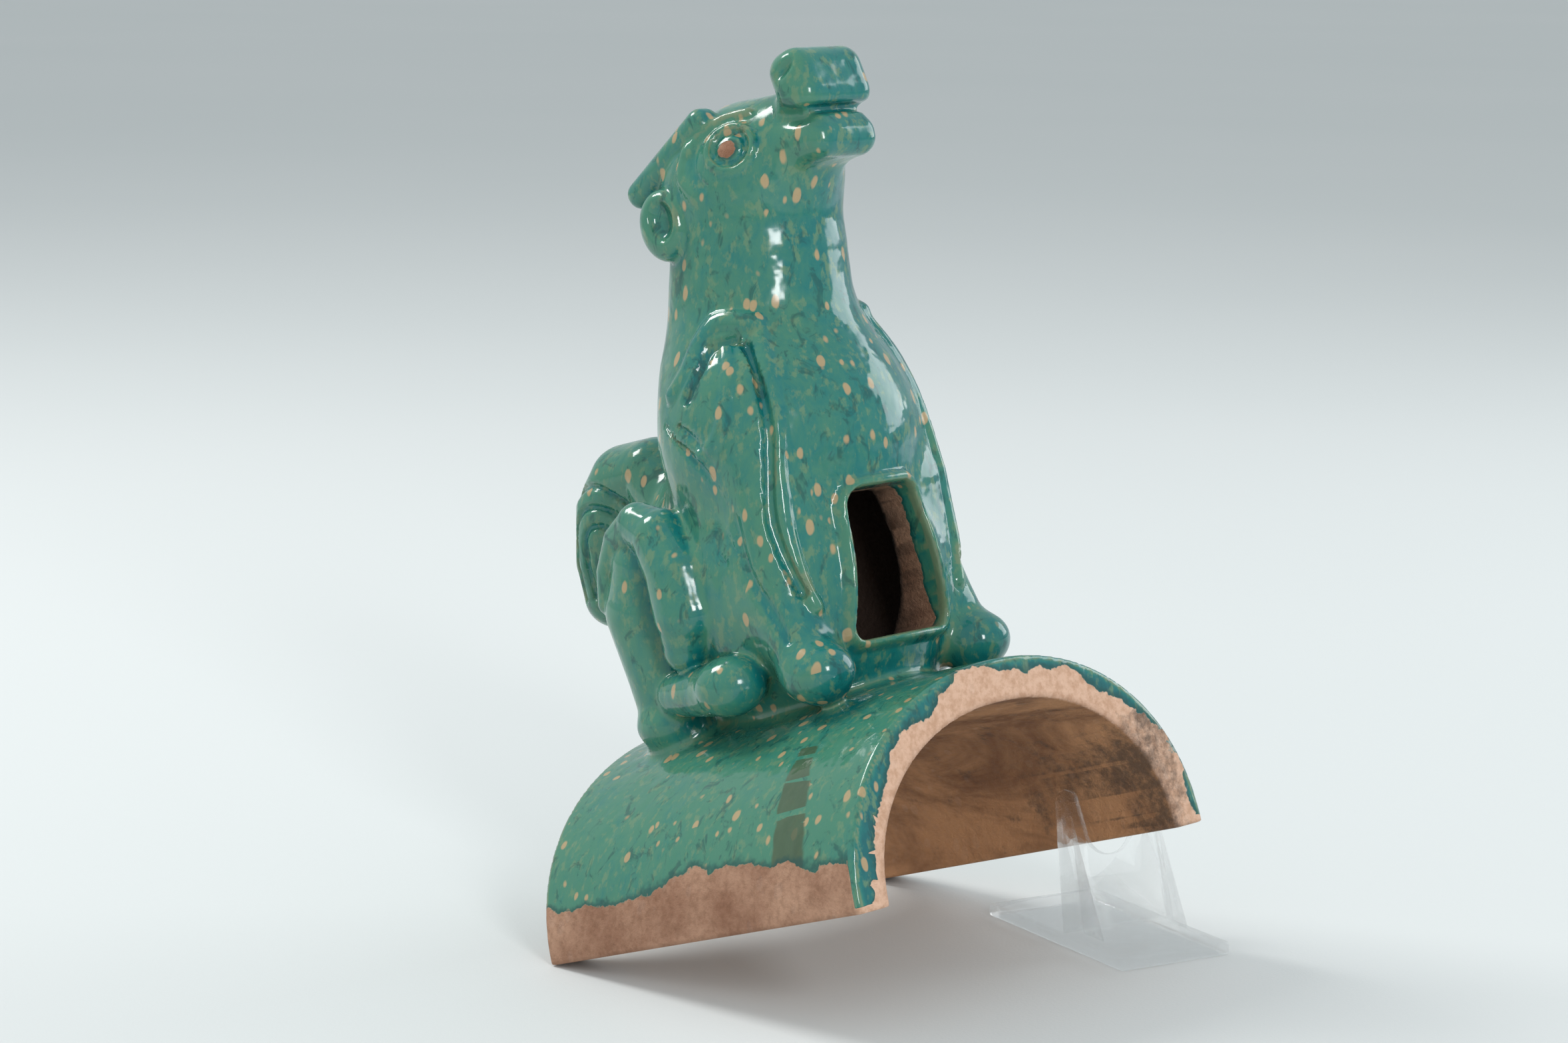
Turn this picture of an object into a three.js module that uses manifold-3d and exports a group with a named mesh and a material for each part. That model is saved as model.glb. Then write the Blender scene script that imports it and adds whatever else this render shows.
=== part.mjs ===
// A glazed ridge tile with a hollow seated beast on its crown, tipped up at the front on a
// small clear display stand. Millimetres, +Z up, the beast faces -Y, X runs across the tile.
import * as THREE from "three";
import { mergeVertices } from "three/addons/utils/BufferGeometryUtils.js";
import Module from "manifold-3d";

const wasm = await Module();
wasm.setup();

// Driving dimensions. The beast is laid out in the tile's own frame: x across from the middle,
// y back from the front end, z up from the bed.
const TILE = { halfWidth: 80, rise: 64, length: 137, wall: 13.2, power: 2.116 };
const PITCH = THREE.MathUtils.degToRad(18); // the front is tipped up about the rear bottom edge
const BODY_FLOOR = 68; // bottom of the hollow inside the body
const WINDOW = { bottom: 78, top: 124, halfBottom: 21, halfTop: 15, corner: 5, reach: 64, lip: 2 };
const CELL = 2.5; // grid of the modelled beast
const CAVITY_CELL = 5;
const BEAST_TRIANGLES = 6600;
const CAVITY_TRIANGLES = 500;
const FILLET = 6; // clay smeared round the beast's foot
const STAND = {
  corner: [63, -56], // the plate's rear left corner, measured from the tile's rear bottom edge
  turn: THREE.MathUtils.degToRad(-16),
  width: 42.5,
  depth: 76,
  plate: 4.5,
  bevel: 1,
  sheet: 3,
  sheetFoot: 44, // from the plate's rear edge to the sheet's rear face
  lean: THREE.MathUtils.degToRad(14),
  height: 50, // along the leaning sheet
  prongFoot: 10.5,
  prongTop: 7.5,
  saddle: 8.8, // radius of the notch that takes the tile's wall
  drop: 4.6, // the notch's floor below the wall, which rests on its sides with a small gap
};

// --- distance fields -------------------------------------------------------------------------

const clamp = THREE.MathUtils.clamp;

function smoothMin(a, b, k) {
  const h = clamp(0.5 + (0.5 * (b - a)) / k, 0, 1);
  return b + (a - b) * h - k * h * (1 - h);
}

const smoothMax = (a, b, k) => -smoothMin(-a, -b, k);

// Moves a point into a frame at centre, pitched about X in degrees.
function local([x, y, z], [cx, cy, cz], pitch = 0) {
  const s = Math.sin(THREE.MathUtils.degToRad(pitch));
  const c = Math.cos(THREE.MathUtils.degToRad(pitch));
  const dy = y - cy;
  const dz = z - cz;
  return [x - cx, dy * c + dz * s, dz * c - dy * s];
}

function ball(p, centre, radii, pitch) {
  const q = local(p, centre, pitch);
  const near = Math.hypot(q[0] / radii[0], q[1] / radii[1], q[2] / radii[2]);
  const slope = Math.hypot(q[0] / radii[0] ** 2, q[1] / radii[1] ** 2, q[2] / radii[2] ** 2);
  return near < 1e-6 ? -Math.min(...radii) : (near * (near - 1)) / slope;
}

function slab(p, centre, half, round, pitch) {
  const q = local(p, centre, pitch).map((v, i) => Math.abs(v) - (half[i] - round));
  const outside = Math.hypot(Math.max(q[0], 0), Math.max(q[1], 0), Math.max(q[2], 0));
  return outside + Math.min(Math.max(q[0], q[1], q[2]), 0) - round;
}

// A chain of tapered round limbs through [x, y, z, radius] points.
function limb([x, y, z], points) {
  let best = Infinity;
  for (let i = 1; i < points.length; i++) {
    const [ax, ay, az, ar = 0] = points[i - 1];
    const [bx, by, bz, br = 0] = points[i];
    const dx = bx - ax;
    const dy = by - ay;
    const dz = bz - az;
    const along = (x - ax) * dx + (y - ay) * dy + (z - az) * dz;
    const t = clamp(along / (dx * dx + dy * dy + dz * dz), 0, 1);
    const reach = Math.hypot(x - ax - t * dx, y - ay - t * dy, z - az - t * dz);
    best = Math.min(best, reach - ar - t * (br - ar));
  }
  return best;
}

// A soft bump of height 1 that fades out at the given distance: it raises ridges and cuts grooves.
function bump(distance, width) {
  const t = clamp(distance / width, 0, 1);
  return (1 - t * t) ** 2;
}

const stroke = (p, points, width) => bump(limb(p, points), width);

// Signed reach to a half-round arch that is a little squarer than an ellipse.
function arch([x, , z], halfWidth, rise) {
  const across = Math.abs(x) / halfWidth;
  const up = Math.max(z, 0) / rise;
  return ((across ** TILE.power + up ** TILE.power) ** (1 / TILE.power) - 1) * rise;
}

// --- the beast -------------------------------------------------------------------------------

function trunk(p) {
  const chest = ball(p, [0, 64, 147], [44, 38.5, 42]);
  const belly = ball(p, [0, 68, 100], [45, 40, 52]);
  const neck = limb(p, [[0, 68, 172, 31], [0, 60, 205, 28], [0, 57, 222, 27]]);
  const rump = ball(p, [0, 98, 98], [34, 31, 50]);
  return smoothMin(smoothMin(smoothMin(chest, belly, 10), neck, 12), rump, 14);
}

function foreleg(p) {
  const leg = limb(p, [[27, 55, 160, 14], [30, 48.5, 125, 12.5], [33.5, 50, 95, 11], [36, 43.5, 76, 9]]);
  return smoothMin(leg, ball(p, [36, 39, 71], [11, 12, 9.5]), 4);
}

// The folded hind leg: a rolled band over the knee, the lobe inside it, and the foot.
function hindLeg(p) {
  const lobe = limb(p, [[36, 102, 116, 11.5], [34, 107, 102, 14.5], [32, 106, 83, 14], [30, 107, 66, 13]]);
  const thigh = limb(p, [[41, 118, 107, 3.4], [41, 115, 117, 3.8], [41, 107, 126, 5], [41, 97, 129, 7]]);
  const shank = limb(p, [[41, 97, 129, 7], [41.5, 88, 123, 9.2], [42, 83, 111, 10.5], [43, 82, 98, 10.5],
    [43, 86, 87, 7]]);
  const sole = limb(p, [[40, 96, 74, 7], [44, 78, 73, 8]]);
  const toes = ball(p, [45, 68, 73], [11, 12, 9.5]);
  const heel = ball(p, [35, 107, 66], [11, 12, 9]);
  const foot = smoothMin(smoothMin(sole, toes, 3), heel, 3);
  return smoothMin(smoothMin(lobe, Math.min(thigh, shank), 1.5), foot, 2);
}

function head(p) {
  const skull = ball(p, [0, 57, 228], [26, 31, 20.5]);
  const muzzle = limb(p, [[0, 46, 231.5, 18.5], [0, 28, 238, 12.5]]);
  const snout = slab(p, [0, 19, 249], [16.5, 8, 10.8], 7, -10);
  const jaw = slab(p, [0, 23.5, 231], [14, 13, 6.5], 6);
  return smoothMin(smoothMin(smoothMin(skull, muzzle, 10), snout, 5), jaw, 5);
}

// Eye with its double ring, brow and cheek tuft, mouth and nostril.
function face(field, p) {
  const eye = Math.hypot(p[0] - 22.5, p[1] - 41.5, p[2] - 235.2);
  const ring = 1.7 * bump(Math.abs(eye - 7.8), 2) - 1.6 * bump(Math.abs(eye - 5.4), 1.6) + 0.8 * bump(eye, 4.5);
  const brow = 2.2 * stroke(p, [[15, 38, 246], [18, 46, 246.5], [22, 52, 243], [25, 57, 238]], 3.5);
  const tuft = 1.8 * stroke(p, [[24, 58, 240], [28, 60, 231], [28, 56, 223]], 3);
  const tear = 1.6 * stroke(p, [[24, 53, 240], [27, 54, 231], [27, 51, 225]], 2.2);
  const slit = slab(p, [0, 9, 239.6], [17.5, 7, 1.3], 1);
  const corner = ball(p, [17, 20.5, 238.6], [6, 8, 3.2], 8);
  const nostril = ball(p, [17.5, 17.5, 254], [3.5, 5, 2.2], -35);
  const cut = Math.min(smoothMin(slit, corner, 2.5), nostril);
  return smoothMax(field - ring - brow - tuft + tear, -cut, 1.5);
}

const mane = (p) => slab(p, [18.5, 70, 238.5], [5.5, 22, 4.6], 4.4, -25);

function ear(p) {
  const shell = ball(p, [26, 72, 218], [6.5, 9.5, 11.5]);
  return smoothMax(shell, -ball(p, [32, 69.5, 219.5], [5, 4.8, 7]), 2);
}

// A plume that rises behind the rump and droops, combed into nested locks on each side.
function tail([x, y, z]) {
  const q = [x * 0.85, y, z];
  const plume = limb(q, [[0, 112, 128, 14], [0, 126, 147, 11.5], [0, 140, 147.5, 11.5], [0, 149, 139, 12],
    [0, 154, 123, 12], [0, 156, 111, 10.5]]);
  const web = ball(q, [0, 134, 126], [9.5, 22, 20]); // the plume's inner side, joined to the rump
  let comb = 0;
  for (const radius of [17, 11, 5.5]) {
    const lock = [];
    for (let turn = 0; turn <= 5; turn++) {
      const a = Math.PI * (1 - turn / 5);
      lock.push([0, 147 + radius * Math.cos(a), 128 + 1.15 * radius * Math.sin(a)]);
    }
    lock.push([0, 149 + radius, 112]);
    comb += 1.3 * stroke([0, y, z], lock, 1.8);
  }
  return smoothMin(plume, web, 4) + comb * bump(Math.max(8 - x, 0), 4);
}

// Ridges and grooves of the collar, shoulder, foreleg and flank.
function carving(p) {
  const legRidge = 2 * stroke(p, [[24, 44, 180], [28, 40, 167], [32, 37, 150], [36, 37, 132], [37, 38, 116],
    [36, 37, 101], [33, 36, 91]], 3.6);
  const legGroove = 2.6 * stroke(p, [[29, 46, 173], [32, 41, 161], [35, 38, 147], [38, 39.5, 132],
    [39.5, 41, 118], [38.5, 39.5, 106], [36, 38, 96]], 2.8);
  const collar = 2.6 * stroke(p, [[25, 45, 181], [28, 51, 183], [30, 57, 183], [34, 62, 178], [37, 66, 170],
    [39, 72, 165]], 4.2);
  const collarGroove = 3 * stroke(p, [[30, 50, 176], [34, 56, 175], [38, 58, 169], [41, 63, 162]], 3.4);
  const flame = 2 * stroke(p, [[33, 51, 174], [37, 48, 166], [41, 49, 155], [43, 53, 147], [44, 60, 144]], 3.2);
  let hair = 1.4 * stroke(p, [[44, 53, 122], [44, 51, 106], [43, 45, 91], [42, 42, 82]], 3);
  for (const lock of [
    [[40, 76, 156], [44, 63, 142], [44, 56, 128], [44, 54, 115]],
    [[40, 88, 146], [43, 73, 133], [44, 61, 124], [44, 55, 112]],
    [[41, 70, 156], [45, 60, 147], [45, 54, 135]],
    [[38, 92, 136], [42, 80, 128], [44, 68, 120], [44, 60, 110]],
  ])
    hair += 1.5 * stroke(p, lock, 2.2);
  return legGroove + collarGroove + hair - legRidge - collar - flame;
}

// Reach to the window's outline, a trapezoid with rounded corners seen from the front.
function windowOutline([x, , z]) {
  const height = WINDOW.top - WINDOW.bottom;
  const t = clamp((z - WINDOW.bottom) / height, -0.3, 1.3);
  const side = Math.abs(x) - WINDOW.halfBottom - t * (WINDOW.halfTop - WINDOW.halfBottom) + WINDOW.corner;
  const up = Math.abs(z - WINDOW.bottom - height / 2) - height / 2 + WINDOW.corner;
  const outside = Math.hypot(Math.max(side, 0), Math.max(up, 0));
  return outside + Math.min(Math.max(side, up), 0) - WINDOW.corner;
}

function beast(p) {
  const q = [Math.abs(p[0]), p[1], p[2]];
  let field = smoothMin(trunk(q), foreleg(q), 8);
  field = smoothMin(field, face(head(q), q), 7) + carving(q);
  field = smoothMin(field, hindLeg(q), 3);
  field = smoothMin(field, mane(q), 1.5);
  field = smoothMin(field, ear(q), 1.5);
  field = smoothMin(field, tail(q), 5);
  if (p[1] < WINDOW.reach) field -= WINDOW.lip * bump(Math.abs(windowOutline(p) - 1.5), 3);
  return field;
}

// The beast with the clay smeared down onto the tile, cut off just inside the tile's surface.
function luted(p) {
  const body = beast(p);
  const crown = Math.max(arch(p, TILE.halfWidth - 0.5, TILE.rise - 0.5), p[1] - TILE.length + 0.5);
  const under = -arch(p, TILE.halfWidth - TILE.wall / 2, TILE.rise - TILE.wall / 2);
  return Math.max(smoothMin(body, crown, FILLET), body - 1.5 * FILLET, under, 30 - p[2]);
}

function cavity(p) {
  const upper = ball(p, [0, 66, 150], [29, 25, 34]);
  const lower = ball(p, [0, 70, 105], [31, 28, 42]);
  return Math.max(smoothMin(upper, lower, 10), BODY_FLOOR - p[2]);
}

// --- from fields to closed meshes ------------------------------------------------------------

// Samples a field on a grid. Blocks of cells far from the surface keep only their sign.
function sample(field, low, high, cell) {
  const block = 4;
  const count = low.map((v, i) => Math.ceil((high[i] - v) / cell / block) * block + 1);
  const at = (i, j, k) => (i * count[1] + j) * count[2] + k;
  const place = (i, j, k) => [low[0] + i * cell, low[1] + j * cell, low[2] + k * cell];
  const values = new Float32Array(count[0] * count[1] * count[2]).fill(NaN);
  const value = (i, j, k) => {
    const n = at(i, j, k);
    if (Number.isNaN(values[n])) values[n] = field(place(i, j, k));
    return values[n];
  };
  const near = 2.2 * block * cell;
  for (let i = 0; i < count[0] - 1; i += block)
    for (let j = 0; j < count[1] - 1; j += block)
      for (let k = 0; k < count[2] - 1; k += block) {
        const middle = block / 2;
        const detail = Math.abs(value(i + middle, j + middle, k + middle)) < near;
        const sign = value(i + middle, j + middle, k + middle);
        for (let a = 0; a <= block; a++)
          for (let b = 0; b <= block; b++)
            for (let c = 0; c <= block; c++)
              if (detail) value(i + a, j + b, k + c);
              else if (Number.isNaN(values[at(i + a, j + b, k + c)])) values[at(i + a, j + b, k + c)] = sign;
      }
  untangle(values, count, at);
  return { values, count, at, place };
}

// Where the signs at the four corners of a grid face alternate, the surface would touch itself
// along an edge, so the weaker of the two corners outside is taken in.
function untangle(values, count, at) {
  const steps = [at(1, 0, 0), at(0, 1, 0), at(0, 0, 1)];
  const sides = [[0, 1], [0, 2], [1, 2]].map(([u, v]) => [steps[u], steps[v]]);
  for (let changed = true; changed; ) {
    changed = false;
    for (let i = 0; i < count[0] - 1; i++)
      for (let j = 0; j < count[1] - 1; j++)
        for (let k = 0; k < count[2] - 1; k++)
          for (const [u, v] of sides) {
            const n = at(i, j, k);
            const ring = [n, n + u, n + u + v, n + v];
            const inside = ring.map((m) => values[m] < 0);
            if (inside[0] !== inside[2] || inside[1] !== inside[3] || inside[0] === inside[1]) continue;
            const [a, b] = ring.filter((m) => values[m] >= 0);
            values[values[a] < values[b] ? a : b] = -1e-3;
            changed = true;
          }
  }
}

// Surface nets: one point in each cell that the surface crosses, one quad for each crossed edge.
function netOf(field, low, high, cell) {
  const { values, count, at, place } = sample(field, low, high, cell);
  const points = [];
  const faces = [];
  const pointAt = new Map();
  const corners = [0, 1, 2, 3, 4, 5, 6, 7].map((n) => [n & 1, (n >> 1) & 1, (n >> 2) & 1]);
  const edges = corners.flatMap((a) => [0, 1, 2].filter((d) => !a[d]).map((d) => [a, d]));
  for (let i = 0; i < count[0] - 1; i++)
    for (let j = 0; j < count[1] - 1; j++)
      for (let k = 0; k < count[2] - 1; k++) {
        const sum = [0, 0, 0];
        let crossings = 0;
        for (const [a, d] of edges) {
          const b = a.map((v, n) => (n === d ? 1 : v));
          const va = values[at(i + a[0], j + a[1], k + a[2])];
          const vb = values[at(i + b[0], j + b[1], k + b[2])];
          if (va < 0 === vb < 0) continue;
          crossings++;
          for (let n = 0; n < 3; n++) sum[n] += a[n] + (n === d ? va / (va - vb) : 0);
        }
        if (!crossings) continue;
        pointAt.set(at(i, j, k), points.length);
        const origin = place(i, j, k);
        points.push(origin.map((v, n) => v + (cell * sum[n]) / crossings));
      }
  for (let i = 1; i < count[0] - 1; i++)
    for (let j = 1; j < count[1] - 1; j++)
      for (let k = 1; k < count[2] - 1; k++)
        for (let d = 0; d < 3; d++) {
          const here = [i, j, k];
          const next = here.map((v, n) => v + (n === d ? 1 : 0));
          const inside = values[at(...here)] < 0;
          if (inside === values[at(...next)] < 0) continue;
          const [u, v] = [(d + 1) % 3, (d + 2) % 3];
          const ring = [[1, 1], [0, 1], [0, 0], [1, 0]].map(([du, dv]) => {
            const c = [...here];
            c[u] -= du;
            c[v] -= dv;
            return pointAt.get(at(...c));
          });
          if (!inside) ring.reverse();
          faces.push([ring[0], ring[1], ring[2]], [ring[0], ring[2], ring[3]]);
        }
  return { points, faces };
}

// A binary heap of items with a cost, cheapest first.
class Queue {
  items = [];
  push(item) {
    const { items } = this;
    let n = items.push(item) - 1;
    while (n && items[(n - 1) >> 1].cost > item.cost) {
      items[n] = items[(n - 1) >> 1];
      n = (n - 1) >> 1;
    }
    items[n] = item;
  }
  pop() {
    const { items } = this;
    const top = items[0];
    const last = items.pop();
    if (!items.length) return top;
    let n = 0;
    for (;;) {
      let child = 2 * n + 1;
      if (child + 1 < items.length && items[child + 1].cost < items[child].cost) child++;
      if (child >= items.length || items[child].cost >= last.cost) break;
      items[n] = items[child];
      n = child;
    }
    items[n] = last;
    return top;
  }
}

const minus = (a, b) => [a[0] - b[0], a[1] - b[1], a[2] - b[2]];
const dot = (a, b) => a[0] * b[0] + a[1] * b[1] + a[2] * b[2];
const cross = (a, b) => [a[1] * b[2] - a[2] * b[1], a[2] * b[0] - a[0] * b[2], a[0] * b[1] - a[1] * b[0]];

// Thins a closed mesh to a number of triangles by collapsing the edges that matter least, so
// that flat stretches get large triangles and the carving keeps small ones.
function thin({ points, faces }, target) {
  const normalOf = (f, at = (v) => points[v]) => cross(minus(at(f[1]), at(f[0])), minus(at(f[2]), at(f[0])));
  const around = points.map(() => new Set());
  const planes = points.map(() => []);
  const stamp = points.map(() => 0);
  const quadric = points.map(() => new Float64Array(10));
  faces.forEach((face, index) => {
    const normal = normalOf(face);
    const area = Math.hypot(...normal) || 1e-12;
    const [a, b, c] = normal.map((v) => v / area);
    const d = -dot([a, b, c], points[face[0]]);
    const terms = [a * a, a * b, a * c, a * d, b * b, b * c, b * d, c * c, c * d, d * d];
    for (const v of face) {
      around[v].add(index);
      terms.forEach((term, n) => (quadric[v][n] += term * area));
    }
  });
  const error = (q, [x, y, z]) =>
    q[0] * x * x + q[4] * y * y + q[7] * z * z + q[9] +
    2 * (q[1] * x * y + q[2] * x * z + q[5] * y * z + q[3] * x + q[6] * y + q[8] * z);
  const neighbours = (v) => {
    const found = new Set();
    for (const f of around[v]) for (const w of faces[f]) if (w !== v) found.add(w);
    return found;
  };
  const queue = new Queue();
  const offer = (a, b) => {
    const sum = quadric[a].map((v, n) => v + quadric[b][n]);
    const middle = points[a].map((v, n) => (v + points[b][n]) / 2);
    const length = dot(minus(points[a], points[b]), minus(points[a], points[b]));
    let best = null;
    for (const point of [middle, points[a], points[b]]) {
      const cost = error(sum, point) + 1e-3 * length;
      if (!best || cost < best.cost) best = { cost, point };
    }
    queue.push({ ...best, a, b, stampA: stamp[a], stampB: stamp[b] });
  };
  const flips = (v, other, point) => {
    for (const f of around[v]) {
      if (faces[f].includes(other)) continue;
      const before = normalOf(faces[f]);
      const after = normalOf(faces[f], (w) => (w === v ? point : points[w]));
      if (dot(before, after) < 0.3 * Math.hypot(...before) * Math.hypot(...after)) return true;
    }
    return false;
  };
  points.forEach((_, v) => neighbours(v).forEach((w) => v < w && offer(v, w)));
  let left = faces.length;
  while (left > target && queue.items.length) {
    const { a, b, stampA, stampB, point } = queue.pop();
    if (stamp[a] !== stampA || stamp[b] !== stampB) continue;
    const shared = neighbours(b);
    if ([...neighbours(a)].filter((v) => shared.has(v)).length !== 2) continue;
    if (flips(a, b, point) || flips(b, a, point)) continue;
    for (const f of [...around[b]]) {
      if (faces[f].includes(a)) {
        for (const v of faces[f]) around[v].delete(f);
        faces[f] = null;
        left--;
      } else {
        faces[f] = faces[f].map((v) => (v === b ? a : v));
        around[a].add(f);
      }
    }
    around[b].clear();
    stamp[b] = -1;
    stamp[a]++;
    points[a] = point;
    quadric[b].forEach((v, n) => (quadric[a][n] += v));
    for (const v of neighbours(a)) offer(a, v);
  }
  return { points, faces: faces.filter(Boolean) };
}

// --- manifold solids -------------------------------------------------------------------------

function solidOf({ points, faces }) {
  const vertProperties = new Float32Array(points.flat());
  const triVerts = new Uint32Array(faces.flat());
  return new wasm.Manifold(new wasm.Mesh({ numProp: 3, vertProperties, triVerts }));
}

function solidOfGeometry(geometry) {
  geometry.deleteAttribute("normal");
  geometry.deleteAttribute("uv");
  const merged = mergeVertices(geometry, 1e-4);
  const vertProperties = merged.attributes.position.array;
  const triVerts = new Uint32Array(merged.index.array);
  return new wasm.Manifold(new wasm.Mesh({ numProp: 3, vertProperties, triVerts }));
}

// The outer skin of a solid as a geometry. A crumb or a closed bubble that the cuts left is dropped.
function geometryOf(solid) {
  const { vertProperties, triVerts } = solid.getMesh();
  const owner = Array.from({ length: vertProperties.length / 3 }, (_, v) => v);
  const find = (v) => {
    while (owner[v] !== v) v = owner[v] = owner[owner[v]];
    return v;
  };
  for (let n = 0; n < triVerts.length; n += 3) {
    owner[find(triVerts[n])] = find(triVerts[n + 1]);
    owner[find(triVerts[n + 1])] = find(triVerts[n + 2]);
  }
  const shells = Map.groupBy(triVerts, (v) => find(v));
  const skin = [...shells.values()].reduce((a, b) => (a.length > b.length ? a : b));
  const geometry = new THREE.BufferGeometry();
  geometry.setAttribute("position", new THREE.BufferAttribute(vertProperties, 3));
  geometry.setIndex(skin);
  return mergeVertices(geometry, 1e-4);
}

// A shape drawn in x and z, extruded from y = from to y = to.
function extrudeBack(shape, from, to) {
  const geometry = new THREE.ExtrudeGeometry(shape, { depth: to - from, bevelEnabled: false });
  geometry.rotateX(Math.PI / 2);
  geometry.translate(0, to, 0);
  return solidOfGeometry(geometry);
}

// --- the tile and the beast as one fired piece -----------------------------------------------

function archPoints(halfWidth, rise, count) {
  const points = [];
  for (let n = 0; n <= count; n++) {
    const a = (Math.PI * n) / count;
    const c = Math.cos(a);
    const s = Math.sin(a);
    const power = 2 / TILE.power;
    points.push(new THREE.Vector2(halfWidth * Math.sign(c) * Math.abs(c) ** power, rise * Math.abs(s) ** power));
  }
  return points;
}

function ridgeTileBeast() {
  const outer = archPoints(TILE.halfWidth, TILE.rise, 44);
  const inner = archPoints(TILE.halfWidth - TILE.wall, TILE.rise - TILE.wall, 36);
  const tile = extrudeBack(new THREE.Shape([...outer, ...inner.reverse()]), 0, TILE.length);
  const figure = solidOf(thin(netOf(luted, [-66, 4, 28], [66, 178, 266], CELL), BEAST_TRIANGLES));
  const hollow = solidOf(thin(netOf(cavity, [-40, 30, 60], [40, 110, 194], CAVITY_CELL), CAVITY_TRIANGLES));
  const height = WINDOW.top - WINDOW.bottom;
  const opening = new THREE.Shape();
  const slope = (WINDOW.halfBottom - WINDOW.halfTop) / height;
  const at = (side, up) => [side * (WINDOW.halfBottom - slope * (up - WINDOW.bottom)), up];
  const cut = WINDOW.corner;
  opening.moveTo(WINDOW.halfBottom - cut, WINDOW.bottom);
  opening.quadraticCurveTo(...at(1, WINDOW.bottom), ...at(1, WINDOW.bottom + cut));
  opening.lineTo(...at(1, WINDOW.top - cut));
  opening.quadraticCurveTo(...at(1, WINDOW.top), WINDOW.halfTop - cut, WINDOW.top);
  opening.lineTo(cut - WINDOW.halfTop, WINDOW.top);
  opening.quadraticCurveTo(...at(-1, WINDOW.top), ...at(-1, WINDOW.top - cut));
  opening.lineTo(...at(-1, WINDOW.bottom + cut));
  opening.quadraticCurveTo(...at(-1, WINDOW.bottom), cut - WINDOW.halfBottom, WINDOW.bottom);
  const window = extrudeBack(opening, 0, WINDOW.reach);
  return geometryOf(figure.add(tile).subtract(hollow).subtract(window));
}

// --- the display stand -----------------------------------------------------------------------

// How far up the leaning sheet the tile's underside crosses the middle of the saddle.
function wallHeight() {
  const { corner, sheetFoot, width, turn, lean } = STAND;
  const forward = sheetFoot * Math.cos(turn) - (width / 2) * Math.sin(turn) - corner[1];
  const back = Math.tan(lean) * Math.cos(turn);
  return (forward * Math.tan(PITCH)) / (1 + back * Math.tan(PITCH)) / Math.cos(lean);
}

// A sheet with two prongs and a round saddle between them, drawn across the plate and up.
function sheetShape() {
  const { width, height, saddle, plate, prongFoot, prongTop, drop } = STAND;
  const middle = width / 2;
  const shoulder = height - 5;
  const inset = 3;
  const seat = wallHeight() - drop + saddle;
  const shape = new THREE.Shape();
  shape.moveTo(0.5, plate / 2);
  shape.lineTo(width - 0.5, plate / 2);
  shape.lineTo(width - inset, shoulder);
  shape.quadraticCurveTo(width - inset, height, width - inset - prongTop / 2, height);
  shape.quadraticCurveTo(width - inset - prongTop, height, width - inset - prongTop, shoulder);
  shape.lineTo(Math.max(middle + saddle, width - prongFoot - inset), seat);
  shape.absarc(middle, seat, saddle, 0, Math.PI, true);
  shape.lineTo(inset + prongTop, shoulder);
  shape.quadraticCurveTo(inset + prongTop, height, inset + prongTop / 2, height);
  shape.quadraticCurveTo(inset, height, inset, shoulder);
  shape.closePath();
  return shape;
}

// Built in the plate's own frame: x across it, y back with its rear edge at 0, z up.
function displayStand() {
  const { width, depth, plate, bevel, sheet, sheetFoot, lean, height } = STAND;
  const outline = new THREE.Shape();
  outline.moveTo(bevel, -bevel);
  outline.lineTo(bevel, bevel - depth);
  outline.lineTo(width - bevel, bevel - depth);
  outline.lineTo(width - bevel, -bevel);
  const rim = { depth: plate - 2 * bevel, bevelThickness: bevel, bevelSize: bevel, bevelSegments: 1 };
  const base = new THREE.ExtrudeGeometry(outline, rim);
  base.translate(0, 0, bevel);

  const prongs = new THREE.ExtrudeGeometry(sheetShape(), { depth: sheet, bevelEnabled: false, curveSegments: 8 });
  prongs.rotateX(Math.PI / 2);
  prongs.rotateX(-lean);
  prongs.translate(0, -sheetFoot, 0);

  // two fins that brace the prongs from the front
  const finTop = 0.82 * height;
  const fin = new THREE.Shape();
  fin.moveTo(-sheetFoot - 1, plate / 2);
  fin.lineTo(-sheetFoot + finTop * Math.tan(lean) - 1, finTop);
  fin.lineTo(-sheetFoot + finTop * Math.tan(lean) - 4, finTop);
  fin.lineTo(-sheetFoot - 15, plate / 2);
  let solid = solidOfGeometry(base).add(solidOfGeometry(prongs));
  for (const side of [3.5, width - 3.5 - sheet]) {
    const brace = new THREE.ExtrudeGeometry(fin, { depth: sheet, bevelEnabled: false });
    brace.rotateX(Math.PI / 2);
    brace.rotateZ(Math.PI / 2);
    brace.translate(side, 0, 0);
    solid = solid.add(solidOfGeometry(brace));
  }
  return geometryOf(solid);
}

// --- the scene -------------------------------------------------------------------------------

const glaze = new THREE.MeshStandardMaterial({ name: "turquoise_glaze", color: 0x1c6e68, roughness: 0.15 });
const acrylic = new THREE.MeshStandardMaterial({
  name: "clear_acrylic",
  color: 0xe8eef0,
  roughness: 0.03,
  transparent: true,
  opacity: 0.3,
});

const tileMesh = new THREE.Mesh(ridgeTileBeast(), glaze);
tileMesh.name = "ridge_tile_beast";
tileMesh.position.y = -TILE.length; // the rear bottom edge is the hinge line of the pitch
const tipped = new THREE.Group();
tipped.rotation.x = -PITCH;
tipped.add(tileMesh);

const standMesh = new THREE.Mesh(displayStand(), acrylic);
standMesh.name = "display_stand";
standMesh.position.set(STAND.corner[0], STAND.corner[1], 0);
standMesh.rotation.z = STAND.turn;

const ornament = new THREE.Group();
ornament.name = "ridge_beast_ornament";
ornament.add(tipped, standMesh);
ornament.updateMatrixWorld(true);
const box = new THREE.Box3().setFromObject(ornament, true);
ornament.position.set(-(box.min.x + box.max.x) / 2, -(box.min.y + box.max.y) / 2, -box.min.z);

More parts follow.
